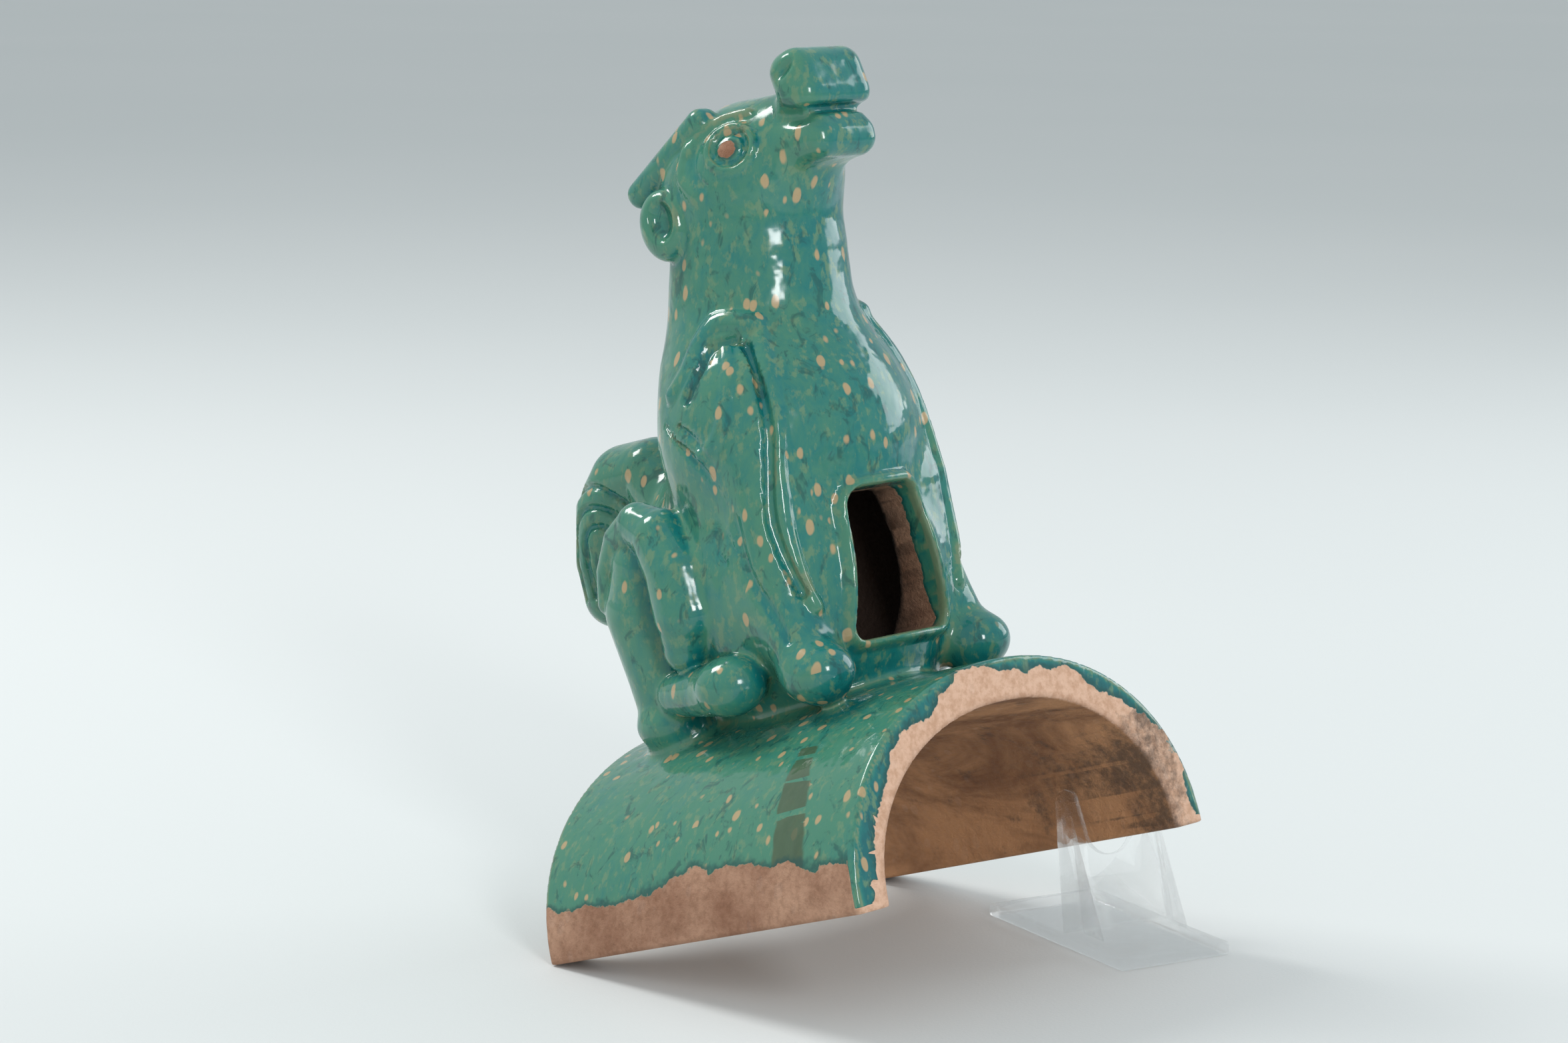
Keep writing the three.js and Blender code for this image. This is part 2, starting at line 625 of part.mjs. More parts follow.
export default ornament;
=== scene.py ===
"""Looks of the ridge beast ornament: a glazed ridge tile with a hollow seated beast on its crown,
tipped up at the front on a small clear stand. The beast is sculpted here as a distance field in
the tile's own frame (millimetres: x across, y back from the front end, z up from the bed)."""
import math

import bmesh
import bpy
import numpy as np
from mathutils import Matrix, Vector


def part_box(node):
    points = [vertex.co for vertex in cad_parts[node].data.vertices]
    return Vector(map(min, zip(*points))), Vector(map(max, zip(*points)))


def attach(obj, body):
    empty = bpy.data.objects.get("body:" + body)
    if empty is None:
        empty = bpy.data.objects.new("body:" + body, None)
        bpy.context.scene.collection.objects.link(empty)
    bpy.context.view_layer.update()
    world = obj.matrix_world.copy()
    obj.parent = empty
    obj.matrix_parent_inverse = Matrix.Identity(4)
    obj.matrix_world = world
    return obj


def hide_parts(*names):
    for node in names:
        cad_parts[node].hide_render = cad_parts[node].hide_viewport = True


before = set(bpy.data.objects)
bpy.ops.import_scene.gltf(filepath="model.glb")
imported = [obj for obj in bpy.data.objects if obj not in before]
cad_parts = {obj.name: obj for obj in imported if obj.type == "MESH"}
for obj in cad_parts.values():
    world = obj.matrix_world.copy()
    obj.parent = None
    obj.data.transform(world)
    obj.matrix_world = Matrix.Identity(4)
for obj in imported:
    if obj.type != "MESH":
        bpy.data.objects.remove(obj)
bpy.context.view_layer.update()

MM = 0.001
PITCH = math.radians(18)   # how far the tile is tipped up at the front
HALF_WIDTH = 80.0          # of the tile, outside
RISE = 64.0                # of the crown's outside above the bed
LENGTH = 137.0
WALL = 13.2
POWER = 2.116              # of the arch's superellipse
BODY_FLOOR = 68.0          # of the body's hollow, above the bed
EYE = (22.5, 41.5, 235.2)

CELL = 1.2
TRIANGLES = 196000
GRID_LOW, GRID_HIGH = (-84.0, -4.0, -4.0), (84.0, 174.0, 268.0)
BLOCK = 4                  # cells along a block of the coarse grid
CHUNK = 150000             # points given to a field at once
CURVE_STEPS = 3            # points between two points of a stroke
SLOPE_STEP = 0.25          # half the distance over which a field's slope is taken
LARGEST_MOVE = 0.4         # of a vertex along an axis, onto the field's surface

tile_low, tile_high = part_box("ridge_tile_beast")
OFFSET = np.array([(tile_low.x + tile_high.x) / 2 / MM, tile_low.y / MM + LENGTH * math.cos(PITCH), 0.0])
TURN = np.array([[1, 0, 0],
                 [0, math.cos(PITCH), math.sin(PITCH)],
                 [0, -math.sin(PITCH), math.cos(PITCH)]])


def to_row(points):
    """Tile frame millimetres to the row's frame in metres."""
    return ((np.asarray(points, float) - [0, LENGTH, 0]) @ TURN.T + OFFSET) * MM


# --- distance fields ---------------------------------------------------------------------------

def smin(a, b, k):
    """The smaller of two distances, blended over k where they are close."""
    h = np.clip(0.5 + 0.5 * (b - a) / k, 0, 1)
    return b + (a - b) * h - k * h * (1 - h)


def smax(a, b, k):
    return -smin(-a, -b, k)


def local(p, centre, pitch):
    """The points seen from centre, turned about x by pitch degrees."""
    q = p - np.array(centre, np.float32)
    if pitch:
        s, c = math.sin(math.radians(pitch)), math.cos(math.radians(pitch))
        q = np.stack([q[:, 0], q[:, 1] * c + q[:, 2] * s, q[:, 2] * c - q[:, 1] * s], 1)
    return q


def ball(p, centre, radii, pitch=0.0):
    q = local(p, centre, pitch)
    r = np.array(radii, np.float32)
    near = np.linalg.norm(q / r, axis=1)
    slope = np.linalg.norm(q / (r * r), axis=1)
    return np.where(near < 1e-4, -r.min(), near * (near - 1) / np.maximum(slope, 1e-9))


def slab(p, centre, half, rounding, pitch=0.0):
    q = np.abs(local(p, centre, pitch)) - (np.array(half, np.float32) - rounding)
    return np.linalg.norm(np.maximum(q, 0), axis=1) + np.minimum(q.max(1), 0) - rounding


def chain(p, points):
    """Distance to a chain of tapered round limbs through (x, y, z, radius) points."""
    best = np.full(len(p), 1e3, np.float32)
    for a, b in zip(points[:-1], points[1:]):
        a, b = np.array(a, np.float32), np.array(b, np.float32)
        d = b[:3] - a[:3]
        t = np.clip((p - a[:3]) @ d / (d @ d), 0, 1)
        reach = np.linalg.norm(p - a[:3] - t[:, None] * d, axis=1) - a[3] - (b[3] - a[3]) * t
        best = np.minimum(best, reach)
    return best


def smooth(points):
    """A Catmull-Rom curve through points, as more points."""
    q = np.array(points, float)
    q = np.vstack([2 * q[0] - q[1], q, 2 * q[-1] - q[-2]])
    out = []
    for n in range(1, len(q) - 2):
        a, b, c, d = q[n - 1:n + 3]
        for t in np.arange(CURVE_STEPS) / CURVE_STEPS:
            out.append(0.5 * (2 * b + (c - a) * t + (2 * a - 5 * b + 4 * c - d) * t ** 2
                              + (3 * b - a - 3 * c + d) * t ** 3))
    return np.array(out + [q[-2]])


def bump(distance, width):
    """1 at distance 0, falling smoothly to 0 at width."""
    t = np.clip(distance / width, 0, 1)
    return (1 - t * t) ** 2


def stroke(p, points, width, taper=0.0):
    """A bump of height 1 along a curve. It narrows and sinks towards both ends by taper."""
    line = smooth(points)
    wide = width * (1 - taper * np.linspace(-1, 1, len(line)) ** 2)
    near = np.all((p > line.min(0) - width) & (p < line.max(0) + width), axis=1)
    height = np.zeros(len(p), np.float32)
    if not near.any():
        return height
    q = p[near]
    best = np.zeros(len(q), np.float32)
    for n in range(len(line) - 1):
        a, b = line[n].astype(np.float32), line[n + 1].astype(np.float32)
        d = b - a
        t = np.clip((q - a) @ d / (d @ d), 0, 1)
        w = wide[n] + (wide[n + 1] - wide[n]) * t
        u = np.clip(np.linalg.norm(q - a - t[:, None] * d, axis=1) / w, 0, 1)
        best = np.maximum(best, (1 - u * u) ** 2 * (w / width))
    height[near] = best
    return height


def arch(p, half_width, rise):
    """Roughly the distance outside a half-round arch on the bed."""
    across, up = np.abs(p[:, 0]) / half_width, np.maximum(p[:, 2], 0) / rise
    return ((across ** POWER + up ** POWER) ** (1 / POWER) - 1) * rise


# --- the beast ---------------------------------------------------------------------------------

def trunk(p):
    f = smin(ball(p, (0, 64, 147), (44, 38.5, 42)), ball(p, (0, 68, 100), (45, 40, 52)), 10)
    f = smin(f, chain(p, [(0, 68, 172, 31), (0, 60, 205, 28), (0, 57, 222, 27)]), 12)
    return smin(f, ball(p, (0, 98, 98), (34, 31, 50)), 14)


def foreleg(p):
    leg = chain(p, [(27, 55, 160, 14), (30, 48.5, 125, 12.5), (33.5, 50, 95, 11), (36, 43.5, 76, 9)])
    return smin(leg, ball(p, (36, 39, 71), (11, 12, 9.5)), 4)


def hind_leg(p):
    lobe = chain(p, [(36, 102, 116, 11.5), (34, 107, 102, 14.5), (32, 106, 83, 14), (30, 107, 66, 13)])
    roll = chain(p, [(41, 118, 107, 3.4), (41, 115, 117, 3.8), (41, 107, 126, 5), (41, 97, 129, 7),
                     (41.5, 88, 123, 9.2), (42, 83, 111, 10.5), (43, 82, 98, 10.5), (43, 86, 87, 7)])
    foot = smin(chain(p, [(40, 96, 74, 7), (44, 78, 73, 8)]), ball(p, (45, 68, 73), (11, 12, 9.5)), 3)
    foot = smin(foot, ball(p, (35, 107, 66), (11, 12, 9)), 3)
    return smin(smin(lobe, roll, 1.5), foot, 2)


def head(p):
    f = smin(ball(p, (0, 57, 228), (26, 31, 20.5)), chain(p, [(0, 46, 231.5, 18.5), (0, 28, 238, 12.5)]), 10)
    f = smin(f, slab(p, (0, 19, 249), (16.5, 8, 10.8), 7, -10), 5)
    return smin(f, slab(p, (0, 23.5, 231), (14, 13, 6.5), 6), 5)


def face(f, p):
    """Eye with its double ring, brow and cheek tuft, mouth and nostril."""
    eye = np.linalg.norm(p - np.array(EYE, np.float32), axis=1)
    f = f - 1.7 * bump(np.abs(eye - 7.8), 2.0) + 1.6 * bump(np.abs(eye - 5.4), 1.6) - 0.8 * bump(eye, 4.5)
    f = f - 2.2 * stroke(p, [(15, 38, 246), (18, 46, 246.5), (22, 52, 243), (25, 57, 238)], 3.5)
    f = f - 1.8 * stroke(p, [(24, 58, 240), (28, 60, 231), (28, 56, 223)], 3.0)
    f = f + 1.6 * stroke(p, [(24, 53, 240), (27, 54, 231), (27, 51, 225)], 2.2)
    slit = slab(p, (0, 9, 239.6), (17.5, 7, 1.3), 1.0)
    corner = ball(p, (17, 20.5, 238.6), (6, 8, 3.2), 8)
    cut = np.minimum(smin(slit, corner, 2.5), ball(p, (17.5, 17.5, 254), (3.5, 5, 2.2), -35))
    return smax(f, -cut, 1.5)


def mane(p):
    return slab(p, (18.5, 70, 238.5), (5.5, 22, 4.6), 4.4, -25)


def ear(p):
    return smax(ball(p, (26, 72, 218), (6.5, 9.5, 11.5)), -ball(p, (32, 69.5, 219.5), (5, 4.8, 7)), 2)


def tail(p):
    q = p * np.array([0.85, 1, 1], np.float32)
    f = chain(q, [(0, 112, 128, 14), (0, 126, 147, 11.5), (0, 140, 147.5, 11.5), (0, 149, 139, 12),
                  (0, 154, 123, 12), (0, 156, 111, 10.5)])
    f = smin(f, ball(q, (0, 134, 126), (9.5, 22, 20)), 4)
    flat = p * np.array([0, 1, 1], np.float32)
    comb = 0
    for radius in (17, 11, 5.5):
        turns = np.pi * (1 - np.arange(6) / 5)
        lock = [(0, 147 + radius * math.cos(a), 128 + 1.15 * radius * math.sin(a)) for a in turns]
        comb = comb + 1.3 * stroke(flat, lock + [(0, 149 + radius, 112)], 1.8)
    return f + comb * bump(np.maximum(8 - p[:, 0], 0), 4)


def carving(p):
    """Ridges and grooves of the collar, shoulder, foreleg and flank."""
    f = -2.2 * stroke(p, [(24, 44, 180), (28, 40, 167), (32, 37, 150), (36, 37, 132), (37, 38, 116),
                          (36, 37, 101), (33, 36, 91)], 3.6)
    f += 2.9 * stroke(p, [(29, 46, 173), (32, 41, 161), (35, 38, 147), (38, 39.5, 132), (39.5, 41, 118),
                          (38.5, 39.5, 106), (36, 38, 96)], 2.8)
    f -= 2.8 * stroke(p, [(25, 45, 181), (28, 51, 183), (30, 57, 183), (34, 62, 178), (37, 66, 170),
                          (39, 72, 165)], 4.2)
    f += 3.2 * stroke(p, [(30, 50, 176), (34, 56, 175), (38, 58, 169), (41, 63, 162)], 3.4)
    f -= 2.2 * stroke(p, [(33, 51, 174), (37, 48, 166), (41, 49, 155), (43, 53, 147), (44, 60, 144)], 3.2)
    f += 1.5 * stroke(p, [(44, 53, 122), (44, 51, 106), (43, 45, 91), (42, 42, 82)], 3)
    for lock in ([(40, 76, 156), (44, 63, 142), (44, 56, 128), (44, 54, 115)],
                 [(40, 88, 146), (43, 73, 133), (44, 61, 124), (44, 55, 112)],
                 [(41, 70, 156), (45, 60, 147), (45, 54, 135)],
                 [(38, 92, 136), (42, 80, 128), (44, 68, 120), (44, 60, 110)]):
        f += 1.6 * stroke(p, lock, 2.2, 0.4)
    return f


def window_outline(p):
    """Distance outside the window, seen from the front. It narrows upwards."""
    side = np.abs(p[:, 0]) - 21 + 6 * np.clip((p[:, 2] - 78) / 46, -0.3, 1.3) + 5
    up = np.abs(p[:, 2] - 101) - 18
    outside = np.hypot(np.maximum(side, 0), np.maximum(up, 0))
    return outside + np.minimum(np.maximum(side, up), 0) - 5


def beast(p):
    """The whole beast, the same on both sides."""
    q = p.copy()
    q[:, 0] = np.abs(q[:, 0])
    f = smin(trunk(q), foreleg(q), 8)
    f = smin(f, face(head(q), q), 7) + carving(q)
    f = smin(f, hind_leg(q), 3)
    f = smin(smin(f, mane(q), 1.5), ear(q), 1.5)
    f = smin(f, tail(q), 5)
    return f - 2.0 * bump(np.abs(window_outline(p) - 1.5), 3) * (p[:, 1] < 60)


def cavity(p):
    """The hollow of the body."""
    f = smin(ball(p, (0, 66, 150), (29, 25, 34)), ball(p, (0, 70, 105), (31, 28, 42)), 10)
    return np.maximum(f, BODY_FLOOR - p[:, 2])


def outer(p):
    """The glazed outside, without its hollows."""
    crown = smax(arch(p, HALF_WIDTH, RISE), p[:, 1] - LENGTH, 1.2)
    return smin(beast(p), crown, 6)


def solid(p):
    """The fired piece: cut off at the front and the bed, with its arch, window and hollow."""
    f = smax(outer(p), -p[:, 1], 1.2)
    f = smax(f, -p[:, 2], 0.8)
    f = smax(f, -arch(p, HALF_WIDTH - WALL, RISE - WALL), 1.2)
    f = smax(f, -np.maximum(window_outline(p), p[:, 1] - 64), 1.5)
    return np.maximum(f, -cavity(p))


# --- from the field to a mesh ------------------------------------------------------------------

def evaluate(field, points):
    out = np.empty(len(points), np.float32)
    for n in range(0, len(points), CHUNK):
        out[n:n + CHUNK] = field(points[n:n + CHUNK].astype(np.float32))
    return out


def sample(field, low, high, cell):
    """Field values on a grid. Blocks of cells far from the surface keep one value."""
    def spread(blocks):
        return blocks.repeat(BLOCK, 0).repeat(BLOCK, 1).repeat(BLOCK, 2)

    count = (np.ceil((np.array(high) - low) / cell / BLOCK) * BLOCK).astype(int) + 1
    axes = [low[n] + cell * np.arange(count[n]) for n in range(3)]
    middles = [a[BLOCK // 2::BLOCK] for a in axes]
    grid = np.stack(np.meshgrid(*middles, indexing="ij"), -1)
    coarse = evaluate(field, grid.reshape(-1, 3)).reshape(grid.shape[:3])
    values = np.full(tuple(count), 1e3, np.float32)
    values[:-1, :-1, :-1] = spread(coarse)
    # a block is near when the surface may cross it, with room for carving between its middles
    near = spread(np.abs(coarse) < 1.4 * BLOCK * cell + 2.5)
    need = np.zeros(tuple(count), bool)
    for i, j, k in np.ndindex(2, 2, 2):
        need[i:i + near.shape[0], j:j + near.shape[1], k:k + near.shape[2]] |= near
    index = np.argwhere(need)
    values[need] = evaluate(field, np.stack([axes[n][index[:, n]] for n in range(3)], 1))
    return values


def surface_net(values, low, cell):
    """One point in each cell that the surface crosses, one quad for each crossed edge."""
    inside = values < 0
    shape = np.array(values.shape)
    count = sum(inside[i:i + shape[0] - 1, j:j + shape[1] - 1, k:k + shape[2] - 1].astype(np.int8)
                for i, j, k in np.ndindex(2, 2, 2))
    active = (count > 0) & (count < 8)
    cells = np.argwhere(active)
    number = np.full(active.shape, -1)
    number[active] = np.arange(len(cells))
    total, crossings = np.zeros((len(cells), 3)), np.zeros(len(cells))
    for corner in np.ndindex(2, 2, 2):
        for axis in range(3):
            if corner[axis]:
                continue
            a = cells + corner
            b = a.copy()
            b[:, axis] += 1
            va, vb = values[tuple(a.T)], values[tuple(b.T)]
            cross = (va < 0) != (vb < 0)
            point = np.tile(np.array(corner, float), (len(cells), 1))
            point[:, axis] += np.where(cross, va / np.where(cross, va - vb, 1), 0)
            total += point * cross[:, None]
            crossings += cross
    points = np.array(low) + cell * (cells + total / crossings[:, None])
    quads = []
    for axis in range(3):
        one, two = [slice(None)] * 3, [slice(None)] * 3
        one[axis], two[axis] = slice(0, -1), slice(1, None)
        change = np.argwhere(inside[tuple(one)] != inside[tuple(two)])
        u, v = (axis + 1) % 3, (axis + 2) % 3
        change = change[(change[:, u] > 0) & (change[:, v] > 0) & (change[:, u] < shape[u] - 1)
                        & (change[:, v] < shape[v] - 1)]
        ring = []
        for du, dv in ((1, 1), (0, 1), (0, 0), (1, 0)):
            c = change.copy()
            c[:, u] -= du
            c[:, v] -= dv
            ring.append(number[tuple(c.T)])
        quad = np.stack(ring, 1)
        out = ~inside[tuple(change.T)]
        quad[out] = quad[out][:, ::-1]
        quads.append(quad)
    quads = np.concatenate(quads)
    return points, np.concatenate([quads[:, [0, 1, 2]], quads[:, [0, 2, 3]]])


def new_mesh(name, points, faces):
    """A linked object made of triangles."""
    mesh = bpy.data.meshes.new(name)
    mesh.vertices.add(len(points))
    mesh.vertices.foreach_set("co", np.asarray(points, np.float32).ravel())
    mesh.loops.add(faces.size)
    mesh.loops.foreach_set("vertex_index", faces.astype(np.int32).ravel())
    mesh.polygons.add(len(faces))
    mesh.polygons.foreach_set("loop_start", np.arange(0, faces.size, 3, dtype=np.int32))
    mesh.update()
    mesh.validate()
    piece = bpy.data.objects.new(name, mesh)
    bpy.context.scene.collection.objects.link(piece)
    return piece


def applied(piece):
    """The piece with its modifiers applied."""
    evaluated = piece.evaluated_get(bpy.context.evaluated_depsgraph_get())
    mesh = bpy.data.meshes.new_from_object(evaluated)
    piece.modifiers.clear()
    piece.data = mesh
    mesh.name = piece.name
    return piece


def vertices_of(mesh):
    points = np.empty(len(mesh.vertices) * 3, np.float32)
    mesh.vertices.foreach_get("co", points)
    return points.reshape(-1, 3).astype(float)


def slope_of(field, points):
    out = np.empty((len(points), 3))
    for axis in range(3):
        shift = np.zeros(3)
        shift[axis] = SLOPE_STEP
        out[:, axis] = evaluate(field, points + shift) - evaluate(field, points - shift)
    return out / (2 * SLOPE_STEP)


def sculpture():
    """The piece thinned to its triangles, with its points on the field and the field's normals."""
    points, faces = surface_net(sample(solid, GRID_LOW, GRID_HIGH, CELL), GRID_LOW, CELL)
    piece = new_mesh("glazed_beast", points, faces)
    if len(faces) > TRIANGLES:
        thin = piece.modifiers.new("thin", "DECIMATE")
        thin.ratio = TRIANGLES / len(faces)
        applied(piece)
    points = vertices_of(piece.data)
    slope = slope_of(solid, points)
    steep = np.maximum((slope ** 2).sum(1), 0.25)
    move = -evaluate(solid, points)[:, None] * slope / steep[:, None]
    points += np.clip(move, -LARGEST_MOVE, LARGEST_MOVE)
    slope = slope_of(solid, points)
    normals = slope / np.maximum(np.linalg.norm(slope, axis=1), 1e-6)[:, None]
    return piece, points, normals


def attribute(mesh, name, values):
    layer = mesh.attributes.new(name, "FLOAT", "POINT")
    layer.data.foreach_set("value", np.asarray(values, np.float32))


# --- materials ---------------------------------------------------------------------------------

GREEN_TEAL, TEAL, DEEP_TEAL = (0.055, 0.21, 0.135), (0.006, 0.165, 0.155), (0.002, 0.115, 0.125)
PALE_FLECK, DARK_FLECK = (0.13, 0.24, 0.135), (0.002, 0.055, 0.055)
SPECK, THIN_GLAZE, GLAZE_RIM = (0.50, 0.33, 0.17), (0.22, 0.25, 0.14), (0.004, 0.06, 0.055)
DARK_OLIVE, OLIVE = (0.030, 0.055, 0.022), (0.085, 0.13, 0.07)
RED_CLAY, BUFF_CLAY, CLAY_GRAIN = (0.26, 0.115, 0.06), (0.48, 0.27, 0.17), (0.16, 0.075, 0.04)
PALE_CLAY, PALE_GRAIN = (0.74, 0.47, 0.33), (0.58, 0.34, 0.22)
DARK_ORANGE, ORANGE_CLAY, STAIN = (0.20, 0.085, 0.035), (0.50, 0.25, 0.115), (0.09, 0.055, 0.035)
# the last colour here is painted shade, near black, for the body's hollow
DIRT, HOLLOW_SHADE = (0.055, 0.036, 0.024), (0.035, 0.017, 0.009)
SPECK_SCALE = 200
WARP = 0.0022   # metres by which the cells of the specks and the crinkle are pushed about


class Graph:
    """Short calls for a material's nodes and links."""

    def __init__(self, name):
        self.material = bpy.data.materials.new(name)
        self.material.use_nodes = True
        self.tree = self.material.node_tree
        self.shader = self.tree.nodes["Principled BSDF"]
        self.coordinates = self.tree.nodes.new("ShaderNodeTexCoord").outputs["Object"]

    def node(self, kind, inputs=None, **settings):
        made = self.tree.nodes.new("ShaderNode" + kind)
        for key, value in settings.items():
            setattr(made, key, value)
        for key, value in (inputs or {}).items():
            self.put(made.inputs[key], value)
        return made

    def put(self, socket, value):
        if isinstance(value, bpy.types.NodeSocket):
            self.tree.links.new(value, socket)
        else:
            socket.default_value = value

    def attribute(self, name):
        return self.node("Attribute", attribute_name=name, attribute_type="GEOMETRY").outputs["Fac"]

    def stretched(self, scale):
        return self.node("Mapping", {"Vector": self.coordinates, "Scale": scale,
                                     "Rotation": (PITCH, 0, 0)}).outputs["Vector"]

    def noise(self, scale, detail=3.0, rough=0.55, vector=None, distortion=0.0):
        return self.node("TexNoise", {"Vector": vector or self.coordinates, "Scale": scale, "Detail": detail,
                                      "Roughness": rough, "Distortion": distortion}).outputs["Fac"]

    def voronoi(self, scale, vector, feature="F1", output="Distance"):
        return self.node("TexVoronoi", {"Vector": vector, "Scale": scale}, feature=feature).outputs[output]

    def math(self, operation, a, b):
        return self.node("Math", {0: a, 1: b}, operation=operation).outputs[0]

    def step(self, value, low, high, to_low=0.0, to_high=1.0):
        return self.node("MapRange", {"Value": value, "From Min": low, "From Max": high, "To Min": to_low,
                                      "To Max": to_high}, interpolation_type="SMOOTHSTEP").outputs["Result"]

    def mix(self, factor, a, b):
        """Two colours mixed, each a socket or a tuple."""
        made = self.node("Mix", data_type="RGBA", clamp_factor=True)
        self.put(made.inputs[0], factor)
        self.put(made.inputs[6], (*a, 1) if isinstance(a, tuple) else a)
        self.put(made.inputs[7], (*b, 1) if isinstance(b, tuple) else b)
        return made.outputs[2]

    def blend(self, factor, a, b):
        """Two numbers mixed."""
        made = self.node("Mix", data_type="FLOAT", clamp_factor=True)
        for index, value in ((0, factor), (2, a), (3, b)):
            self.put(made.inputs[index], value)
        return made.outputs[0]

    def bump(self, height, distance, strength):
        return self.node("Bump", {"Height": height, "Distance": distance,
                                  "Strength": strength}).outputs["Normal"]

    def finish(self, **sockets):
        for name, value in sockets.items():
            self.put(self.shader.inputs[name.replace("_", " ")], value)
        return self.material


def glaze_colour(g, lined, warped, edge):
    """Mottled teal, darker where it pools and, as painted shade, on faces turned to the front right, with
    buff specks, thin ridges and the olive run.
    """
    cloud = g.noise(28, 4, 0.6, lined)
    grain = g.noise(210, 4, 0.65, lined, 0.6)
    depth = g.math("ADD", g.math("MULTIPLY", cloud, 0.9), g.math("MULTIPLY", grain, 1.0))
    # painted shade: faces turned to the front right get a deeper, darker teal
    depth = g.math("ADD", depth, g.math("MULTIPLY", g.attribute("front_right_shade"), 0.55))
    depth = g.math("ADD", depth, g.math("MULTIPLY", g.attribute("pit"), 0.35))
    depth = g.math("SUBTRACT", depth, g.math("MULTIPLY", edge, 0.75))
    teal = g.mix(g.step(depth, 0.78, 1.45), GREEN_TEAL, TEAL)
    teal = g.mix(g.step(depth, 1.2, 1.9), teal, DEEP_TEAL)
    fleck = g.step(g.noise(330, 3, 0.6, lined), 0.52, 0.66)
    teal = g.mix(g.math("MULTIPLY", fleck, 0.75), teal, PALE_FLECK)
    dark = g.step(g.noise(150, 3, 0.7, lined, 1.2), 0.55, 0.68)
    teal = g.mix(g.math("MULTIPLY", dark, 0.55), teal, DARK_FLECK)

    chance = g.node("SeparateColor", {"Color": g.voronoi(SPECK_SCALE, warped, output="Color")}).outputs[0]
    density = g.step(g.noise(22, 2), 0.38, 0.66, 0.26, 0.62)
    density = g.math("ADD", density, g.math("MULTIPLY", edge, 0.25))
    chosen = g.step(g.math("SUBTRACT", density, chance), 0.0, 0.05)
    size = g.step(chance, 0.0, 0.5, 0.36, 0.2)
    within = g.step(g.math("SUBTRACT", size, g.voronoi(SPECK_SCALE, warped)), 0.0, 0.1)
    spots = g.math("MULTIPLY", within, chosen)
    glaze = g.mix(g.math("MULTIPLY", spots, 0.8), teal, SPECK)
    thin = g.step(g.math("ADD", edge, g.math("MULTIPLY", g.noise(120, 3), 0.5)), 0.95, 1.25)
    glaze = g.mix(g.math("MULTIPLY", thin, 0.6), glaze, THIN_GLAZE)

    drip = g.math("ADD", g.attribute("drip"), g.step(g.noise(90, 2), 0.2, 0.8, -1.2, 1.2))
    olive = g.mix(g.noise(120, 3, 0.6, g.stretched((1, 1, 0.3))), DARK_OLIVE, OLIVE)
    glaze = g.mix(g.math("MULTIPLY", g.step(drip, 0.6, -0.6), 0.9), glaze, olive)
    return glaze, spots


def clay_colour(g, fine):
    """Red-brown clay, paler on the front ring, smeared and dirty inside, with painted shade, near black, in
    the body's hollow.
    """
    patch = g.noise(35, 5, 0.65)
    clay = g.mix(g.step(patch, 0.3, 0.7), RED_CLAY, BUFF_CLAY)
    clay = g.mix(g.math("MULTIPLY", g.step(fine, 0.4, 0.7), 0.35), clay, CLAY_GRAIN)
    clay = g.mix(g.attribute("pale"), clay, g.mix(g.step(fine, 0.35, 0.7), PALE_CLAY, PALE_GRAIN))
    smear = g.noise(26, 5, 0.7, g.stretched((1, 0.45, 1)), 1.4)
    hollow = g.mix(g.step(smear, 0.33, 0.66), DARK_ORANGE, ORANGE_CLAY)
    stain = g.step(g.noise(70, 6, 0.75), 0.56, 0.72)
    hollow = g.mix(g.math("MULTIPLY", stain, 0.7), hollow, STAIN)
    clay = g.mix(g.attribute("inside"), clay, hollow)
    dirt = g.step(g.math("ADD", g.attribute("dirt"), g.noise(160, 5, 0.8)), 0.95, 1.35)
    clay = g.mix(g.math("MULTIPLY", dirt, 0.8), clay, DIRT)
    # painted shade: the body's hollow, seen through the window, made near black
    return g.mix(g.attribute("hollow_shade"), clay, HOLLOW_SHADE)


